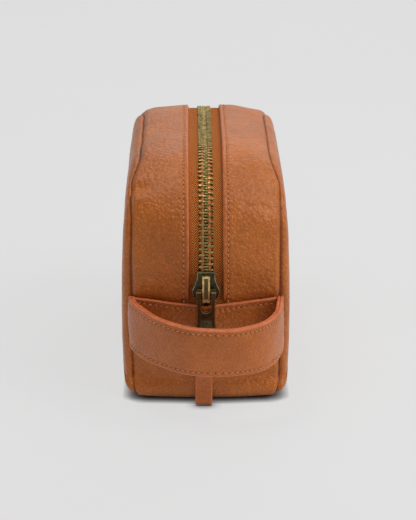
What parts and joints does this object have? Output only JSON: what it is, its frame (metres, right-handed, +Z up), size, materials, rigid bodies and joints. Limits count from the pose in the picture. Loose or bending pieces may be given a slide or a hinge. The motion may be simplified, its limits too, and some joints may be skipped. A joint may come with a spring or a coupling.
{
  "type": "shaving kit bag",
  "caption": "Upright leather wash bag with a metal zip over its top and down its ends, a wide carrying strap across the front end and a small grip tab.",
  "frame": {"origin": "middle of the base, on the surface that the bag stands on", "axes": "+Z up, +Y along the zip from the handle end to the rear end, +X across from the left side panel to the right one"},
  "size_m": [0.09, 0.2352, 0.134],
  "materials": {
    "shell_leather": "pebbled, semi-matt",
    "strap_leather": "pebbled, painted edges",
    "tab_leather": "pebbled, painted edges",
    "lining_cloth": "plain weave",
    "zip_tape": "herringbone weave",
    "zip_brass": "antique",
    "slider_metal": "antique, worn bright on its edges",
    "spring_metal": "dark"
  },
  "bodies": {
    "shell": {"base_gusset": "shell_leather", "side_panel_left_lower": "shell_leather", "side_panel_right_lower": "shell_leather", "lining_base": "lining_cloth", "lining_left_lower": "lining_cloth", "lining_right_lower": "lining_cloth", "slip_pocket": "lining_cloth", "pocket_binding": "strap_leather", "zip_bottom_stop": "zip_brass", "zip_top_stop_left": "zip_brass", "zip_top_stop_right": "zip_brass", "handle_end_left": "strap_leather", "handle_end_right": "strap_leather", "grip_tab_sewn": "tab_leather"},
    "mouth_left": {"side_panel_left_upper": "shell_leather", "zip_gusset_left": "shell_leather", "lining_left_upper": "lining_cloth", "zip_facing_left": "lining_cloth", "zip_tape_left": "zip_tape", "zip_teeth_left": "zip_brass"},
    "mouth_right": {"side_panel_right_upper": "shell_leather", "zip_gusset_right": "shell_leather", "lining_right_upper": "lining_cloth", "zip_facing_right": "lining_cloth", "zip_tape_right": "zip_tape", "zip_teeth_right": "zip_brass"},
    "slider": {"slider_body": "slider_metal", "slider_bridge": "slider_metal", "slider_lock_spring": "spring_metal"},
    "puller": {"zip_puller": "slider_metal"},
    "handle": {"handle_outer": "strap_leather", "handle_inner": "strap_leather"},
    "tab": {"grip_tab_tip": "tab_leather"}
  },
  "joints": [
    {"name": "slider_travel", "type": "hinge", "parent": "mouth_left", "child": "slider", "pos_m": [0, -0.0345, 0.0685], "axis": [-1, 0, 0], "range_deg": [0, 90], "deforming": ["zip_teeth_left", "zip_teeth_right", "zip_tape_left", "zip_tape_right"]},
    {"name": "mouth_left_open", "type": "hinge", "parent": "shell", "child": "mouth_left", "pos_m": [-0.045, 0, 0.0565], "axis": [0, -1, 0], "range_deg": [0, 18]},
    {"name": "mouth_right_open", "type": "hinge", "parent": "shell", "child": "mouth_right", "pos_m": [0.045, 0, 0.0565], "axis": [0, 1, 0], "range_deg": [0, 18]},
    {"name": "puller_swing", "type": "hinge", "parent": "slider", "child": "puller", "pos_m": [0, -0.102, 0.0664], "axis": [-1, 0, 0], "range_deg": [0, 165]},
    {"name": "handle_swing", "type": "hinge", "parent": "shell", "child": "handle", "pos_m": [0, -0.103, 0.0458], "axis": [-1, 0, 0], "range_deg": [-15, 25]},
    {"name": "tab_flex", "type": "hinge", "parent": "shell", "child": "tab", "pos_m": [0, -0.103, 0.012], "axis": [-1, 0, 0], "range_deg": [0, 70]}
  ],
  "couplings": [
    {"joint": "mouth_left_open", "follows": "slider_travel", "ratio": 0.2},
    {"joint": "mouth_right_open", "follows": "slider_travel", "ratio": 0.2}
  ]
}
